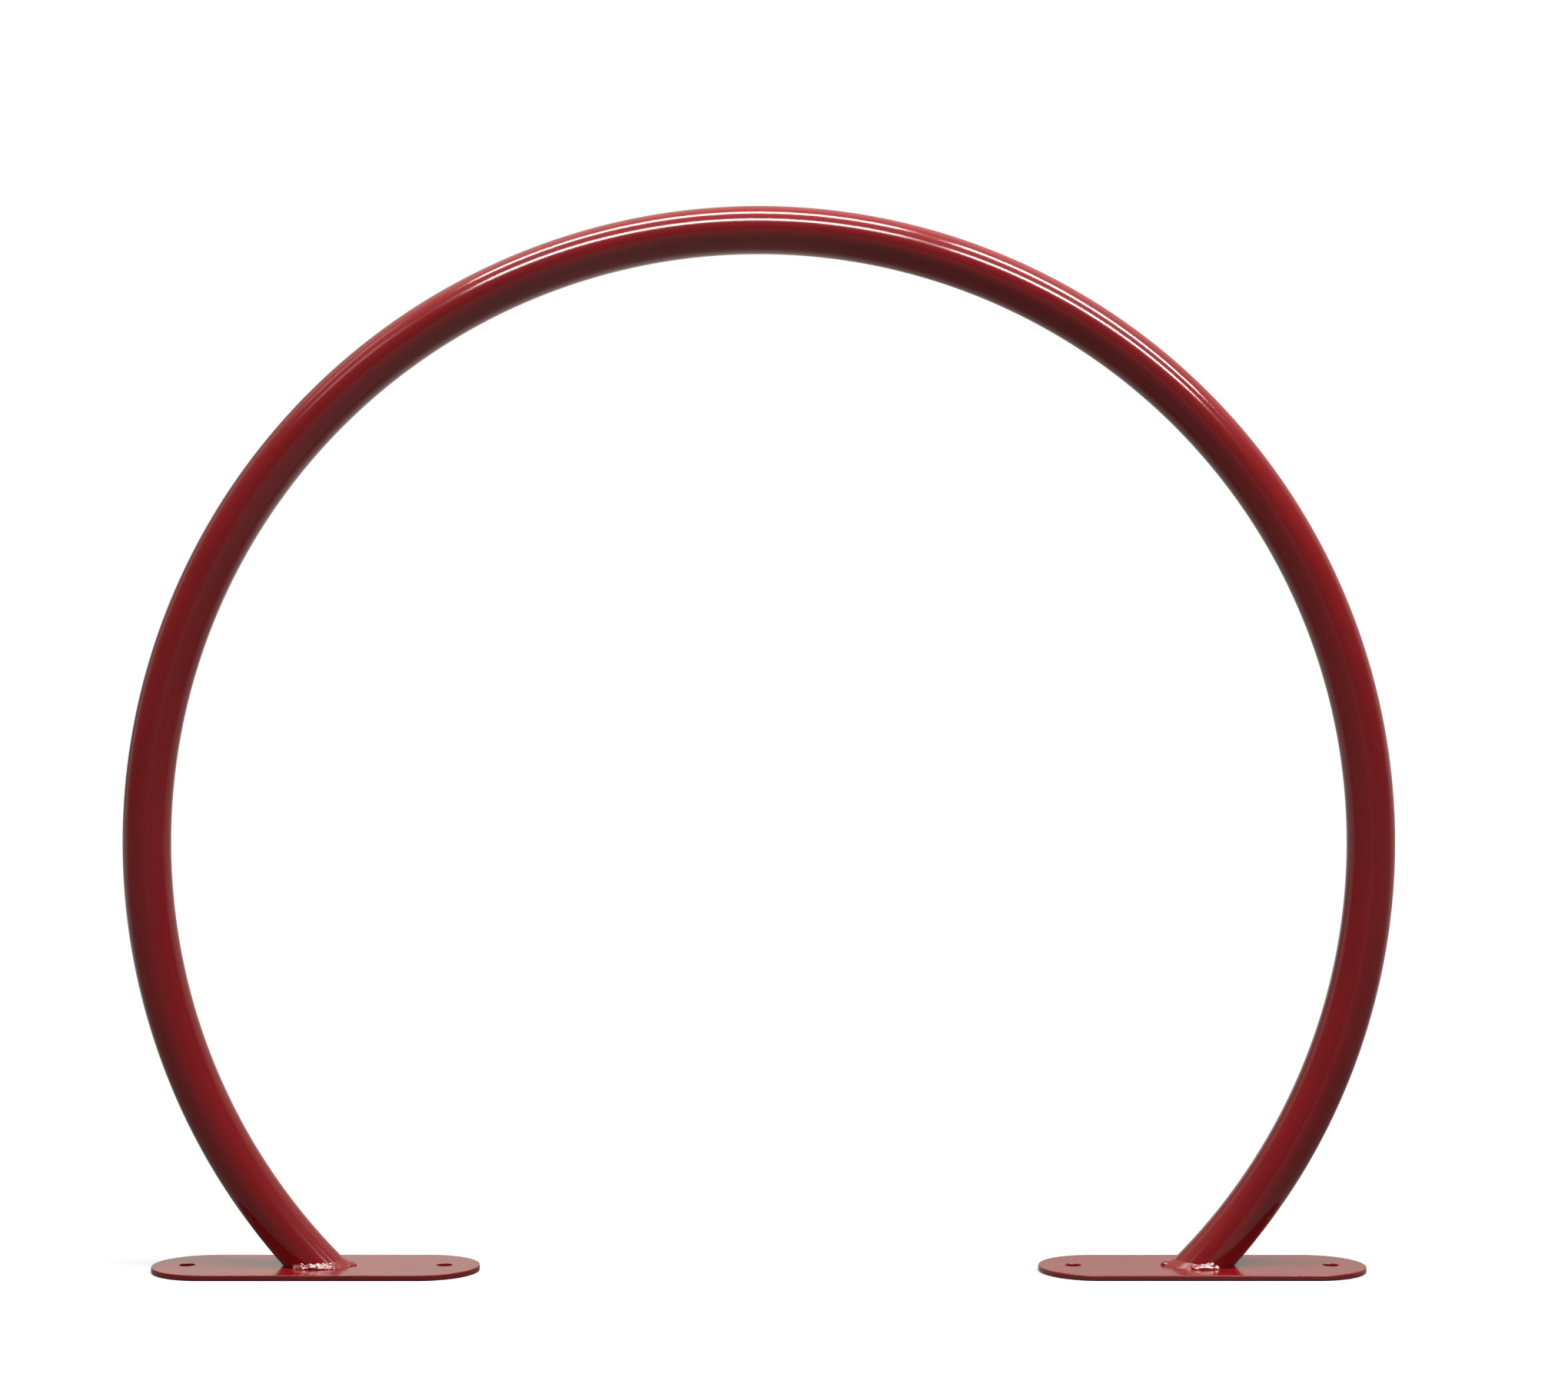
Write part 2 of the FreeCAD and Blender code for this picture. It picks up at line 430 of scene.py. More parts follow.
def enamel(name, film, height, shade_to_ground=None, dulling=None, coat=None):
    """Red enamel over steel. The rest are functions of the shader and the place on the piece: how thick the
    paint lies, from 0 to 1, how high its surface stands, in metres, how much painted shade darkens its colour,
    from 0 to 1, what to add to the blur of its gloss, and how much of a second layer has pooled on it, from 0
    to 1."""
    paint = settings("rack_enamel")
    material = bpy.data.materials.new(name)
    material.use_nodes = True
    shader = Shader(material.node_tree)
    place = shader.place()
    thickness = film(shader, place)
    colour = shader.mix(thickness, rgba(paint.red), rgba(paint.deep_red))
    # Painted shade: where a piece has it, its colour is darkened towards the ground.
    if shade_to_ground:
        colour = shader.mix(shade_to_ground(shader, place), colour, rgba(paint.painted_shade))
    bump = shader.value(
        "ShaderNodeBump", {}, {"Strength": 1.0, "Distance": 1.0, "Height": height(shader, place)}
    )
    blur = paint.roughness + THICK_FILM_BLUR * thickness
    if dulling:
        blur = blur + dulling(shader, place)
    surface = shader.value(
        "ShaderNodeBsdfPrincipled",
        {},
        {
            "Base Color": colour,
            "Roughness": blur,
            "IOR": ENAMEL_IOR,
            "Coat Weight": coat(shader, place) if coat else 0.0,
            "Coat Roughness": paint.roughness,
            "Coat IOR": POOLED_IOR,
            "Normal": bump,
        },
    )
    shader.node("ShaderNodeOutputMaterial", {}, {"Surface": surface})
    return material


def tube_section_place(shader, place):
    """A place on the bent tube as a point of its unit section and the turn along the hoop."""
    x, y, z = shader.axes(place)
    up = z - HOOP_CENTRE_Z
    out = (x * x + up * up) ** 0.5 - HOOP_RADIUS
    turn = x.maths("ARCTAN2", up)
    return y / TUBE_RADIUS, out / TUBE_RADIUS, turn


def tube_streaks(shader, place):
    """Faint lines drawn along the tube."""
    across, out, turn = tube_section_place(shader, place)
    drawn_out = shader.vector(across, out, turn * STREAK_SHORTENING)
    return shader.noise(drawn_out, STREAK_SCALE, detail=3.0)


def tube_film(shader, place):
    """Broad patches and streaks of thicker paint."""
    patches = shader.noise(place, TUBE_FILM_SCALE)
    return shader.smooth_step(patches * 0.6 + tube_streaks(shader, place) * 0.4, 0.3, 0.7)


def tube_height(shader, place):
    """Orange peel, sags and streaks."""
    peel = shader.noise(place, ORANGE_PEEL_SCALE, detail=1.0) * ORANGE_PEEL_HEIGHT
    sags = shader.noise(place, TUBE_SAG_SCALE) * TUBE_SAG_HEIGHT
    return peel + sags + tube_streaks(shader, place) * STREAK_HEIGHT


def tube_dulling(shader, place):
    """Sharper gloss towards the feet, where the paint ran and levelled out."""
    _, _, z = shader.axes(place)
    return -0.01 * (1 - shader.smooth_step(z, 80 * MM, 300 * MM))


def plate_film(shader, place):
    """Blotches of thicker paint."""
    blotches = shader.noise(place, PLATE_FILM_SCALE, detail=4.0, roughness=0.6)
    return shader.smooth_step(blotches, 0.35, 0.75)


def plate_height(shader, place):
    """Orange peel and sags."""
    peel = shader.noise(place, ORANGE_PEEL_SCALE, detail=1.0) * ORANGE_PEEL_HEIGHT
    return peel + shader.noise(place, PLATE_SAG_SCALE) * PLATE_SAG_HEIGHT


def plate_dulling(shader, place):
    """A little duller than the tube, in patches."""
    return 0.02 + 0.02 * shader.noise(place, PLATE_DULL_SCALE)


def plate_painted_ground_shade(shader, place):
    """Painted shade: the plate's edge darkens towards the ground, as if shaded where it meets the floor."""
    _, _, z = shader.axes(place)
    return 0.6 * (1 - shader.smooth_step(z, -1.0 * MM, 4.2 * MM))


def weld_film(shader, place):
    """Small spots of thicker paint."""
    return shader.smooth_step(shader.noise(place, BEAD_FILM_SCALE), 0.35, 0.7)


def weld_height(shader, place):
    """The bead's fine roughness under the paint."""
    return shader.noise(place, BEAD_SKIN_SCALE) * BEAD_SKIN_HEIGHT


def weld_dulling(shader, place):
    """Much duller than the tube, in spots."""
    return 0.13 + 0.06 * shader.noise(place, BEAD_DULL_SCALE)


def weld_coat(shader, place):
    """Paint pools among the lumps, not on the smooth toe inside the hoop."""
    x, _, _ = shader.axes(place)
    return shader.smooth_step(0 - x, 371 * MM, 378 * MM) + shader.smooth_step(x, 380 * MM, 384 * MM)


def plate_angle():
    """How far round from the top the tube's inner side is when it meets the plates' top."""
    return math.pi - math.acos((HOOP_CENTRE_Z - PLATE_TOP) / (HOOP_RADIUS - TUBE_RADIUS))


# How far the tube is bent on past the plates' top, before its feet are cut.
OVERBEND = math.radians(4)


class RACK_OT_hoop_tube(bpy.types.Operator):
    """Bends the hollow tube and cuts its feet flat on the plates"""

    bl_idname = "rack.hoop_tube"
    bl_label = "Hoop Tube"

    def execute(self, context):
        tube = settings("rack_tube")
        end = plate_angle() + OVERBEND
        hoop = self.draw_section(tube, end)
        apply_modifier(
            hoop, "SCREW", axis="Y", angle=2 * end, screw_offset=0, steps=tube.steps, render_steps=tube.steps
        )
        self.stand_up(hoop)
        self.cut_feet(hoop)
        material = enamel("tube_enamel", tube_film, tube_height, dulling=tube_dulling)
        finish_piece(hoop, "hoop_tube", material)
        return {"FINISHED"}

    def draw_section(self, tube, end):
        """The outer and inner circles of the tube's left end, about the hoop's own centre."""
        start = Vector((HOOP_RADIUS * math.sin(-end), 0, HOOP_RADIUS * math.cos(-end)))
        in_object_mode()
        bpy.ops.mesh.primitive_circle_add(
            vertices=tube.sides, radius=TUBE_RADIUS, location=start, rotation=(0, math.pi / 2 - end, 0)
        )
        hoop = new_piece("hoop_tube_painted")
        edit(hoop)
        bpy.ops.mesh.select_all(action="SELECT")
        bpy.ops.mesh.duplicate()
        inside = (TUBE_RADIUS - tube.wall) / TUBE_RADIUS
        bpy.ops.transform.resize(value=(inside, inside, inside), center_override=start)
        bpy.ops.object.mode_set(mode="OBJECT")
        return hoop

    def stand_up(self, hoop):
        """Lifts the hoop from its own centre to its height over the ground."""
        hoop.location = (0, 0, HOOP_CENTRE_Z)
        activate(hoop)
        bpy.ops.object.transform_apply(location=True)

    def cut_feet(self, hoop):
        """Cuts both feet flat on the plates' top, and closes the tube's wall there."""
        edit(hoop)
        bpy.ops.mesh.select_all(action="SELECT")
        bpy.ops.mesh.bisect(plane_co=(0, 0, PLATE_TOP), plane_no=(0, 0, 1), clear_inner=True)
        for side in SIDES.values():
            select_where(hoop, "edges", lambda edge: edge.is_boundary and edge.verts[0].co.x * side > 0)
            bpy.ops.mesh.bridge_edge_loops()
        close_edit(FINE_MERGE)


# Faces round a hole and round an edge, the least angle of an edge that is rounded, and the flat band beside it.
HOLE_SIDES = 64
EDGE_SEGMENTS = 4
ROUNDED_ANGLE = math.radians(50)
HELD_BAND = 0.8 * MM


class RACK_OT_base_plates(bpy.types.Operator):
    """Cuts both base plates, drills their anchor holes and softens their edges"""

    bl_idname = "rack.base_plates"
    bl_label = "Base Plates"

    def execute(self, context):
        material = enamel("plate_enamel", plate_film, plate_height, plate_painted_ground_shade, plate_dulling)
        for side_name, side in SIDES.items():
            plate = self.make_plate(side_name, side)
            finish_piece(plate, f"base_plate_{side_name}", material)
        return {"FINISHED"}

    def make_plate(self, side_name, side):
        """A flat bar with full-round ends, drilled and rounded."""
        sizes = settings("rack_plate")
        length = PLATE_HIGH.x - PLATE_LOW.x
        width = PLATE_HIGH.y - PLATE_LOW.y
        in_object_mode()
        bpy.ops.mesh.primitive_plane_add(size=1, location=(side * PLATE_CENTRE_X, 0, PLATE_LOW.z))
        bpy.context.object.scale = (length, width, 1)
        plate = new_piece(f"base_plate_{side_name}_painted")
        edit(plate)
        bpy.ops.mesh.select_all(action="SELECT")
        bpy.ops.mesh.bevel(
            offset=width / 2, segments=2 * sizes.end_segments, affect="VERTICES", clamp_overlap=False
        )
        bpy.ops.mesh.select_all(action="SELECT")
        bpy.ops.mesh.remove_doubles(threshold=MERGE)
        bpy.ops.mesh.select_all(action="SELECT")
        bpy.ops.mesh.extrude_region_move(TRANSFORM_OT_translate={"value": (0, 0, PLATE_TOP - PLATE_LOW.z)})
        close_edit()
        for end in (LEFT, RIGHT):
            x = side * PLATE_CENTRE_X + end * (length / 2 - sizes.hole_end_distance)
            self.drill(plate, x, sizes.hole_diameter)
        apply_modifier(
            plate, "BEVEL", width=sizes.edge_radius, segments=EDGE_SEGMENTS, limit_method="ANGLE",
            angle_limit=ROUNDED_ANGLE,
        )
        self.hold_flat_faces(plate)
        return plate

    def drill(self, plate, x, diameter):
        """One anchor hole, right through the plate."""
        in_object_mode()
        bpy.ops.mesh.primitive_cylinder_add(
            vertices=HOLE_SIDES, radius=diameter / 2, depth=4 * PLATE_TOP, location=(x, 0, PLATE_TOP / 2)
        )
        cut_away(plate, new_piece("drill"), "EXACT")

    def hold_flat_faces(self, plate):
        """A narrow band inside each flat face keeps the rounded edges' shading off it."""
        edit(plate)
        select_where(plate, "faces", lambda face: abs(face.normal.z) > 0.999)
        bpy.ops.mesh.inset(thickness=HELD_BAND, use_even_offset=True, use_individual=False)
        close_edit(FINE_MERGE)


# Where each bead is rippled, and where small lumps are heaped on it, as turns from its outer side, in degrees.
RIPPLED_STRETCH = {LEFT: (58, 134), RIGHT: (70, 112)}
LUMPY_STRETCH = {LEFT: (60, 132), RIGHT: (75, 108)}

# The slopes that drops lie at on the bead's face, in degrees, and a foot's mean radius, which spaces them.
DROP_SLOPES = (42, 58)
FOOT_MEAN_RADIUS = 25 * MM

# Ripples are flattened drops of this radius. Lumps lie at three levels of the bead's face: 0 would be on the
# plate, LUMP_SPREAD millimetres from the foot, and 1 on the tube, about LUMP_RISE millimetres up.
RIPPLE_RADIUS = 2.2 * MM
LUMP_LEVELS = (0.3, 0.85, 0.6)
LUMP_SPREAD = 4.0
LUMP_RISE = 4.5

# The drops of each bead's end inside the hoop, in millimetres: how far each lies from the foot and behind the
# hoop's plane, and its radius. The left bead ends in a small blob, the right one in a drop drawn to a point.
TOE_DROPS = {
    LEFT: ((0.5, -7, 2.0), (2.4, -4.5, 1.7), (1.2, 0, 2.4), (4.8, -1, 1.9), (3.2, 3.5, 1.9), (1, 7, 2.1)),
    RIGHT: ((0.5, 0, 4.6), (2.6, 0, 4.2), (4.1, 0, 2.9), (5.2, 0, 1.7), (6, 0, 0.9)),
}
TOE_HEIGHT = 0.4 * MM

# How flat the drops lie that rest on the plate.
SETTLED = (1, 1, 0.7)

# The small crater in the right bead's toe: how high, how far from the foot and how far forward its middle is.
CRATER_HEIGHT = 2.2 * MM
CRATER_PROUD = 2.2 * MM
CRATER_FORWARD = 4.3 * MM
CRATER_RADIUS = 1.1 * MM
CRATER_STRETCH = (1.6, 1, 0.8)

# The cutters: the bar's faces round and along it and the turn of the hoop that it fills, and the block's size.
BAR_SIDES = 72
BAR_STEPS = 28
BAR_TURN = math.radians(14)
BLOCK_SIZE = 0.2


class RACK_OT_welds(bpy.types.Operator):
    """Lays an uneven bead round each foot, with its lumps, toe and spatter"""

    bl_idname = "rack.welds"
    bl_label = "Weld Beads"

    def execute(self, context):
        material = enamel("weld_enamel", weld_film, weld_height, dulling=weld_dulling, coat=weld_coat)
        for side_name, side in SIDES.items():
            bead = self.lay_bead(side_name, side)
            self.trim(bead, side)
            finish_piece(bead, f"weld_{side_name}", material, SMOOTH_ALL)
        return {"FINISHED"}

    def foot_ring(self, height, proud):
        """The foot's outline at a height over the plate: how far its middle is from the hoop's, and its half
        length and half width."""
        low = PLATE_TOP - HOOP_CENTRE_Z
        inner = math.sqrt((HOOP_RADIUS - TUBE_RADIUS) ** 2 - low**2)
        outer = math.sqrt((HOOP_RADIUS + TUBE_RADIUS) ** 2 - low**2)
        lean = -low / math.sqrt(HOOP_RADIUS**2 - low**2)
        return (inner + outer) / 2 + lean * height, (outer - inner) / 2 + proud, TUBE_RADIUS + proud

    def foot_point(self, side, turn, height=0.0, proud=0.0):
        """A place round the foot: turn 0 is the outer side, minus a quarter turn the front, half a turn the
        side inside the hoop."""
        middle, half_length, half_width = self.foot_ring(height, proud)
        return (
            side * (middle + half_length * math.cos(turn)),
            half_width * math.sin(turn),
            PLATE_TOP + height,
        )

    def lay_bead(self, side_name, side):
        """Core, ripples, lumps, toe and spatter, melted into one bead."""
        weld = settings("rack_weld")
        dice = random.Random(weld.seed + side)
        bead = self.make_core(side_name, side, weld)
        edit(bead)
        self.add_ripples(side, weld, dice)
        for facing in (FRONT, BACK):
            self.add_lumps(side, facing, weld.lumps, dice)
        self.add_toe(side)
        self.add_spatter(side, weld.spatter, dice)
        bpy.ops.object.mode_set(mode="OBJECT")
        apply_modifier(bead, "REMESH", mode="VOXEL", voxel_size=weld.voxel, use_smooth_shade=True)
        apply_modifier(bead, "SMOOTH", factor=0.5, iterations=1)
        return bead

    def make_core(self, side_name, side, weld):
        """The bead's even core: a ring that leans with the tube, and hardly shows on the outer side."""
        in_object_mode()
        bpy.ops.mesh.primitive_cylinder_add(vertices=96, radius=1, depth=1)
        core = new_piece(f"weld_{side_name}_painted")
        edit(core)
        # The upper end goes first, because an end is picked by which side of the cylinder's middle it is on.
        self.place_end(
            core, side, 1, height=weld.leg_up, proud=-0.5 * MM, outwards=-4.0 * MM, inwards=-1.7 * MM,
            tilt=math.radians(4.5),
        )
        self.place_end(
            core, side, -1, height=-MM, proud=0.4 * weld.leg_out, outwards=-3.0 * MM,
            inwards=1.1 * weld.leg_out, tilt=0.0,
        )
        return core

    def place_end(self, core, side, end, height, proud, outwards, inwards, tilt):
        """Fits one end of the core to the foot's outline at a height, spread by so much to the front and back,
        away from the hoop and into it."""
        middle, half_length, half_width = self.foot_ring(height, 0.0)
        half_length += (outwards + inwards) / 2
        select_where(core, "verts", lambda vert: vert.co.z * end > 0)
        bpy.ops.transform.resize(value=(half_length, half_width + proud, 1), center_override=(0, 0, 0))
        bpy.ops.transform.rotate(value=-side * tilt, orient_axis="Y", center_override=(0, 0, 0.5 * end))
        place = (side * (middle + (outwards - inwards) / 2), 0, PLATE_TOP + height - 0.5 * end)
        bpy.ops.transform.translate(value=place)

    def add_drop(self, place, radius, stretch, tilt=0.0, heading=0.0):
        """One drop of metal, which the remesh melts into the bead."""
        bpy.ops.mesh.primitive_ico_sphere_add(
            subdivisions=3, radius=radius, location=place, scale=stretch, rotation=(0, tilt, heading)
        )

    def add_sloping_drop(self, side, turn, height, proud, radius, stretch, tilt):
        """A drop that lies on the bead's sloping face, turned to face away from the foot."""
        place = Vector(self.foot_point(side, turn, height, proud))
        out = place - Vector(self.foot_point(side, turn, height))
        self.add_drop(place, radius, stretch, tilt, math.atan2(out.y, out.x))

    def add_ripples(self, side, weld, dice):
        """The ripples of the bead's face, from the outer side round to the toe, in front and behind."""
        low, high = (math.radians(turn) for turn in RIPPLED_STRETCH[side])
        count = round((high - low) * FOOT_MEAN_RADIUS / weld.pitch)
        for number in range(2 * count):
            turn = low + (high - low) * (number // 2 + dice.uniform(0, 0.9)) / count
            radius = RIPPLE_RADIUS * (1 + dice.uniform(-weld.unevenness, weld.unevenness))
            proud = 0.4 * weld.leg_out + dice.uniform(-0.5, 0.2) * MM
            tilt = math.radians(dice.choice(DROP_SLOPES) + dice.uniform(-4, 4))
            facing = (FRONT, BACK)[number % 2]
            stretch = (1.15, dice.uniform(0.7, 1.5), 0.45)
            self.add_sloping_drop(side, facing * turn, 0.5 * weld.leg_up, proud, radius, stretch, tilt)

    def add_lumps(self, side, facing, count, dice):
        """Small lumps heaped on the face in front of the tube or behind it, highest in the middle."""
        low, high = (math.radians(turn) for turn in LUMPY_STRETCH[side])
        for number in range(count):
            part = (number + dice.random()) / count
            turn = facing * (low + (high - low) * part)
            mound = 0.55 + 0.6 * math.sin(math.pi * part) + dice.uniform(-0.15, 0.1)
            level = LUMP_LEVELS[number % len(LUMP_LEVELS)] + dice.uniform(-0.12, 0.12)
            height, proud = level * LUMP_RISE * MM * mound, (1 - level) * LUMP_SPREAD * MM
            radius = dice.uniform(0.9, 1.5) * MM
            tilt = math.radians(dice.choice(DROP_SLOPES) + dice.uniform(-9, 9))
            stretch = (dice.uniform(0.8, 1.2), dice.uniform(1.0, 2.6), dice.uniform(0.6, 0.9))
            self.add_sloping_drop(side, turn, height, proud, radius, stretch, tilt)

    def add_toe(self, side):
        """The bead's end on the plate inside the hoop."""
        for step, aside, radius in TOE_DROPS[side]:
            x, y, z = self.foot_point(side, math.pi, TOE_HEIGHT, step * MM)
            self.add_drop((x, y + aside * MM, z), radius * MM, SETTLED)

    def add_spatter(self, side, count, dice):
        """Small drops thrown on the plate beside the bead."""
        for _ in range(count):
            place = self.foot_point(side, dice.uniform(0, 2 * math.pi), 0, dice.uniform(8, 15) * MM)
            self.add_drop(place, dice.uniform(0.6, 1.1) * MM, SETTLED)

    def trim(self, bead, side):
        """Takes away what lies inside the tube and below the plate's top, and the right toe's crater."""
        cut_away(bead, self.tube_cutter(side), "MANIFOLD")
        cut_away(bead, self.plate_cutter(side), "MANIFOLD")
        if side == RIGHT:
            cut_away(bead, self.crater_cutter(side), "MANIFOLD")
        edit(bead)
        bpy.ops.mesh.select_all(action="SELECT")
        bpy.ops.mesh.normals_make_consistent(inside=False)

    def tube_cutter(self, side):
        """A solid bar of the tube's outside, bent about the hoop's centre, at one foot."""
        start = side * plate_angle() - BAR_TURN / 2
        centre = (HOOP_RADIUS * math.sin(start), 0, HOOP_CENTRE_Z + HOOP_RADIUS * math.cos(start))
        in_object_mode()
        bpy.ops.mesh.primitive_circle_add(
            vertices=BAR_SIDES, radius=TUBE_RADIUS, fill_type="NGON", location=centre,
            rotation=(0, math.pi / 2 + start, 0),
        )
        bar = new_piece("tube_cutter")
        edit(bar)
        bpy.ops.mesh.select_all(action="SELECT")
        bpy.ops.mesh.spin(steps=BAR_STEPS, angle=BAR_TURN, center=(0, 0, HOOP_CENTRE_Z), axis=(0, -1, 0))
        close_edit()
        return bar

    def plate_cutter(self, side):
        """A block that reaches up to the plate's top."""
        in_object_mode()
        place = (side * PLATE_CENTRE_X, 0, PLATE_TOP - BLOCK_SIZE / 2)
        bpy.ops.mesh.primitive_cube_add(size=BLOCK_SIZE, location=place)
        return new_piece("plate_cutter")

    def crater_cutter(self, side):
        """The hollow that a bubble left in the toe."""
        x, y, z = self.foot_point(side, math.pi, CRATER_HEIGHT, CRATER_PROUD)
        in_object_mode()
        bpy.ops.mesh.primitive_ico_sphere_add(
            subdivisions=4, radius=CRATER_RADIUS, location=(x, y - CRATER_FORWARD, z), scale=CRATER_STRETCH
        )
        return new_piece("crater_cutter")


WHITE = (1, 1, 1, 1)
PALE_FLOOR = (0.8, 0.8, 0.8, 1)
WARM_FLOOR = (1, 0.97, 0.88, 1)
WARM_ROOM = (1, 0.98, 0.88, 1)

FLOOR_SIZE = 80
FLOOR_GAP = 0.1 * MM

# The floor shows the rack's shade along a line under it that reaches this far to each side. The shade is whole
# up to the first of these distances from the line, and gone at the second.
SHADE_LINE_REACH = 0.5
SHADE_LIMITS = (0.25, 0.6)

# Panels light the rack and don't show in its gloss: the place in plan, the size and the radiance.
PANELS = {
    "middle": {"place": (0.3, 0.05), "size": (3.6, 0.5), "radiance": 5.2},
    "front": {"place": (0.3, -0.9), "size": (3.6, 1.0), "radiance": 6.0},
    "left": {"place": (-2.4, -1.0), "size": (1.0, 2.0), "radiance": 8.6},
    "right": {"place": (1.9, -1.0), "size": (1.0, 2.0), "radiance": 11.8},
}

# Strips show in its gloss and don't light it: both ends in plan, the width and the radiance.
STRIPS = {
    "over_far_left": {"start": (-3.02, -0.46), "end": (-2.0, -0.05), "width": 0.45, "radiance": 1.9},
    "front_far_left": {"start": (-3.07, -2.5), "end": (-2.05, -2.2), "width": 0.85, "radiance": 2.2},
    "over_left": {"start": (-1.45, -0.14), "end": (0.66, -0.28), "width": 0.40, "radiance": 25.5},
    "over_right": {"start": (0.92, -0.40), "end": (2.80, -0.66), "width": 0.40, "radiance": 36.5},
    "front_left": {"start": (-1.45, -2.08), "end": (0.66, -2.40), "width": 0.62, "radiance": 33.0},
    "front_right": {"start": (0.92, -2.50), "end": (2.80, -2.84), "width": 0.62, "radiance": 41.0},
}


def add_lamp(name, place, size, radiance, turn=0.0):
    """A flat lamp that shines straight down. Its radiance is 1 where it looks just white."""
    in_object_mode()
    bpy.ops.object.light_add(type="AREA", location=place, rotation=(0, 0, turn))
    lamp = bpy.context.object
    lamp.name = name
    lamp.data.shape = "RECTANGLE"
    lamp.data.size, lamp.data.size_y = size
    lamp.data.energy = math.pi * size[0] * size[1] * radiance
    lamp.visible_camera = False
    return lamp


class RACK_OT_stage(bpy.types.Operator):
    """Sets the camera as the photograph's was, the floor, the backdrop and the lamps"""

    bl_idname = "rack.stage"
    bl_label = "Studio"

    def execute(self, context):
        context.scene.view_settings.view_transform = "Standard"
        self.add_camera(context)
        self.add_floor()
        self.add_world(context)
        self.add_lamps()
        return {"FINISHED"}

    def add_camera(self, context):
        """A level camera square to the hoop's plane, where the hoop's centre and radius come out as given."""
        stage = settings("rack_stage")
        px_per_metre = stage.hoop_radius_px / HOOP_RADIUS
        place = (
            (stage.photo_width / 2 - stage.hoop_centre_x) / px_per_metre,
            -stage.camera_distance,
            HOOP_CENTRE_Z + (stage.hoop_centre_y - stage.photo_height / 2) / px_per_metre,
        )
        in_object_mode()
        bpy.ops.object.camera_add(location=place, rotation=(math.pi / 2, 0, 0))
        camera = context.object
        camera.data.lens = camera.data.sensor_width * stage.camera_distance * px_per_metre / stage.photo_width
        context.scene.camera = camera

    def add_floor(self):
        """A pale floor: white with the rack's soft shadow to the camera, and grey in the enamel's gloss. To the
        rack's paint it gives back a little light."""
        in_object_mode()
        bpy.ops.mesh.primitive_plane_add(size=FLOOR_SIZE, location=(0, 0, -FLOOR_GAP))
        floor = new_piece("floor")
        material = bpy.data.materials.new("pale_floor")
        material.use_nodes = True
        shader = Shader(material.node_tree)
        rays = shader.rays()
        x, y, _ = shader.axes(shader.place())
        shown = self.floor_to_camera(shader, x, y)
        bounce = settings("rack_stage").floor_bounce
        mirrored_tone = self.floor_in_gloss(shader, x, y)
        lit = shader.glow(WARM_FLOOR, bounce + rays["Is Glossy Ray"] * (mirrored_tone - bounce))
        surface = shader.mix_surfaces(rays["Is Camera Ray"], lit, shown)
        shader.node("ShaderNodeOutputMaterial", {}, {"Surface": surface})
        material.cycles.emission_sampling = "NONE"
        floor.data.materials.append(material)

    def floor_to_camera(self, shader, x, y):
        """Shaded by the rack near it, plain white further off."""
        beyond = (x.maths("ABSOLUTE") - SHADE_LINE_REACH).maths("MAXIMUM", 0.0)
        far = shader.smooth_step((beyond * beyond + y * y) ** 0.5, *SHADE_LIMITS)
        pale = shader.value("ShaderNodeBsdfDiffuse", {}, {"Color": PALE_FLOOR})
        near = shader.value("ShaderNodeAddShader", {}, {0: pale, 1: shader.glow(WHITE, 0.35)})
        return shader.mix_surfaces(far, near, shader.glow(WHITE, 1.0))

    def floor_in_gloss(self, shader, x, y):
        """How bright the floor looks in the enamel: brighter in the middle, and behind the rack."""
        middle = shader.smooth_step(x, -0.1, 0.0) * (1 - shader.smooth_step(x, 0.4, 0.7))
        back = shader.smooth_step(y, 0.2, 0.75)
        return 0.26 + 0.19 * middle + back * (0.25 + 0.16 * middle)

    def add_world(self, context):
        """White behind the rack to the camera, and a room in its gloss."""
        world = bpy.data.worlds.new("studio")
        context.scene.world = world
        world.use_nodes = True
        world.cycles.sampling_method = "NONE"
        shader = Shader(world.node_tree)
        rays = shader.rays()
        seen = rays["Is Camera Ray"]
        mirrored = rays["Is Glossy Ray"] + rays["Is Transmission Ray"]
        room = self.room_in_gloss(shader)
        colour = shader.mix(seen, WARM_ROOM, WHITE)
        background = shader.value(
            "ShaderNodeBackground", {}, {"Color": colour, "Strength": seen + mirrored * room}
        )
        shader.node("ShaderNodeOutputWorld", {}, {"Surface": background})

    def room_in_gloss(self, shader):
        """How bright a dim room with bright walls and ceiling behind looks in each direction. The limits are
        parts of a unit vector."""
        x, y, z = shader.axes(shader.place("Generated"))
        left = shader.smooth_step(0 - x, -0.2, 0.5)
        right = shader.smooth_step(x, -0.2, 0.5)
        raised = shader.smooth_step(z, 0.0, 0.4)
        overhead = shader.smooth_step(z, 0.4, 0.9)
        behind = shader.smooth_step(y, 0.0, 0.4)
        far_left_corner = shader.smooth_step(0 - x, 0.3, 0.65) * shader.smooth_step(y, 0.42, 0.6)
        left_skirting = (
            shader.smooth_step(y, 0.5, 0.8)
            * (1 - shader.smooth_step(z, 0.2, 0.4))
            * shader.smooth_step(0 - x, -0.05, 0.1)
        )
        left_wall = 0.09 * left * raised * shader.smooth_step(y, -0.4, 0.1)
        back_wall = 0.42 * (1 - overhead) * (1 - far_left_corner)
        back_ceiling = 0.53 * overhead
        ceiling = overhead * (0.47 * right + 0.43 * left)
        return 0.18 + left_wall + behind * (back_wall + back_ceiling) + ceiling + 0.12 * left_skirting

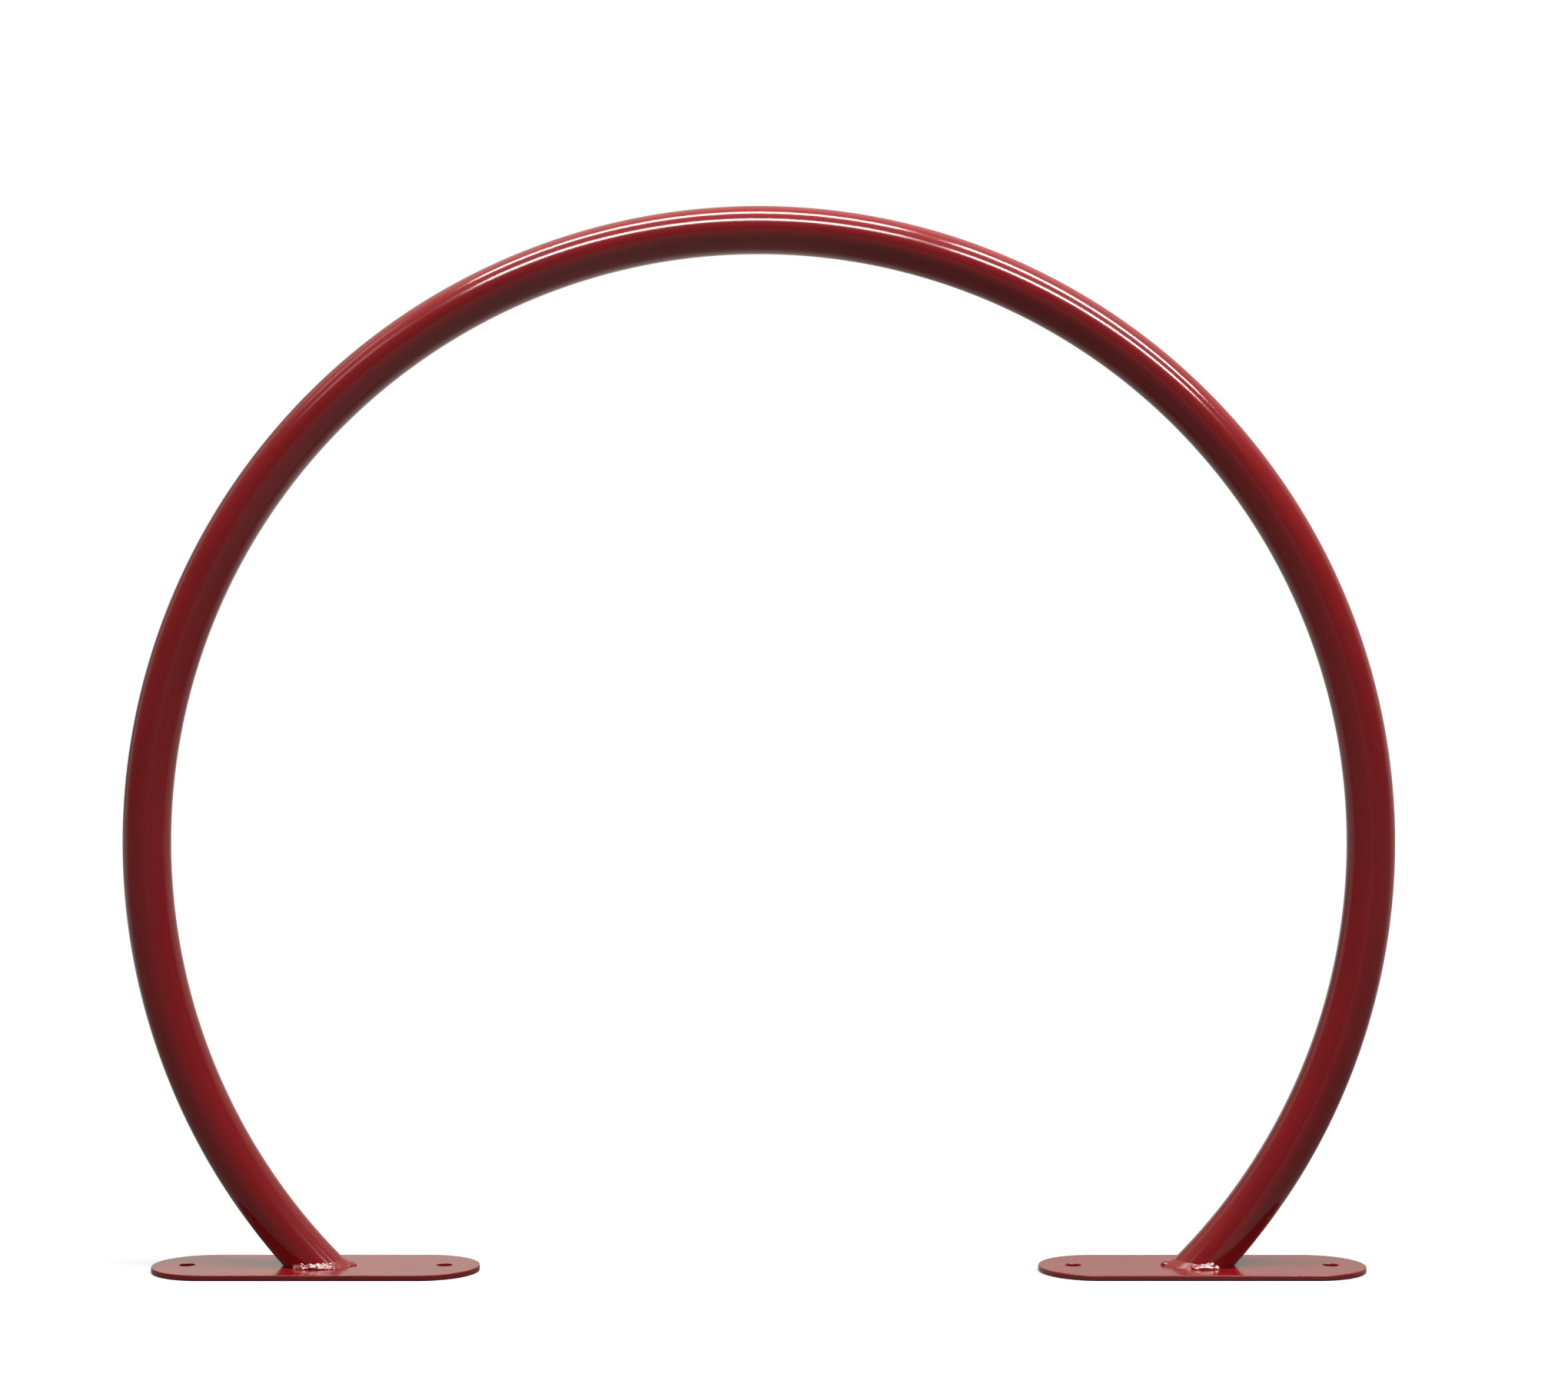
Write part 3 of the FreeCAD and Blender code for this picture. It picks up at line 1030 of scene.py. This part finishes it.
    def add_lamps(self):
        """Soft panels that light the rack, and two rows of strip lamps that only its gloss shows."""
        stage = settings("rack_stage")
        for name, panel in PANELS.items():
            place = (*panel["place"], stage.panel_height)
            lamp = add_lamp(f"panel_{name}", place, panel["size"], panel["radiance"])
            lamp.visible_glossy = False
        for name, strip in STRIPS.items():
            start, end = (Vector((*strip[key], stage.lamp_height)) for key in ("start", "end"))
            run = end - start
            size = (run.length, strip["width"])
            turn = math.atan2(run.y, run.x)
            lamp = add_lamp(f"strip_{name}", (start + end) / 2, size, strip["radiance"], turn)
            lamp.visible_diffuse = False


class RACK_PT_panel(bpy.types.Panel):
    """The rack's pieces and its studio"""

    bl_idname = "RACK_PT_panel"
    bl_label = "Hoop Bike Rack"
    bl_space_type = "VIEW_3D"
    bl_region_type = "UI"
    bl_category = "Bike Rack"

    def draw(self, context):
        for operator in OPERATORS:
            self.layout.operator(operator.bl_idname)
        for group in GROUPS:
            box = self.layout.box()
            box.label(text=group)
            values = getattr(context.scene, group)
            for name in values.__annotations__:
                box.prop(values, name)


GROUPS = {
    "rack_tube": TubeSettings,
    "rack_plate": PlateSettings,
    "rack_weld": WeldSettings,
    "rack_enamel": EnamelSettings,
    "rack_stage": StageSettings,
}
OPERATORS = (RACK_OT_stage, RACK_OT_hoop_tube, RACK_OT_base_plates, RACK_OT_welds)
CLASSES = (*GROUPS.values(), *OPERATORS, RACK_PT_panel)


def register():
    """Adds the operators, the panel and the groups of settings."""
    for item in CLASSES:
        bpy.utils.register_class(item)
    for name, group in GROUPS.items():
        setattr(bpy.types.Scene, name, bpy.props.PointerProperty(type=group))


def unregister():
    """Takes them away again."""
    for name in GROUPS:
        delattr(bpy.types.Scene, name)
    for item in reversed(CLASSES):
        bpy.utils.unregister_class(item)


def main():
    """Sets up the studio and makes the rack's pieces."""
    register()
    bpy.ops.rack.stage()
    bpy.ops.rack.hoop_tube()
    bpy.ops.rack.base_plates()
    bpy.ops.rack.welds()
    in_object_mode()


if __name__ == "__main__":
    main()
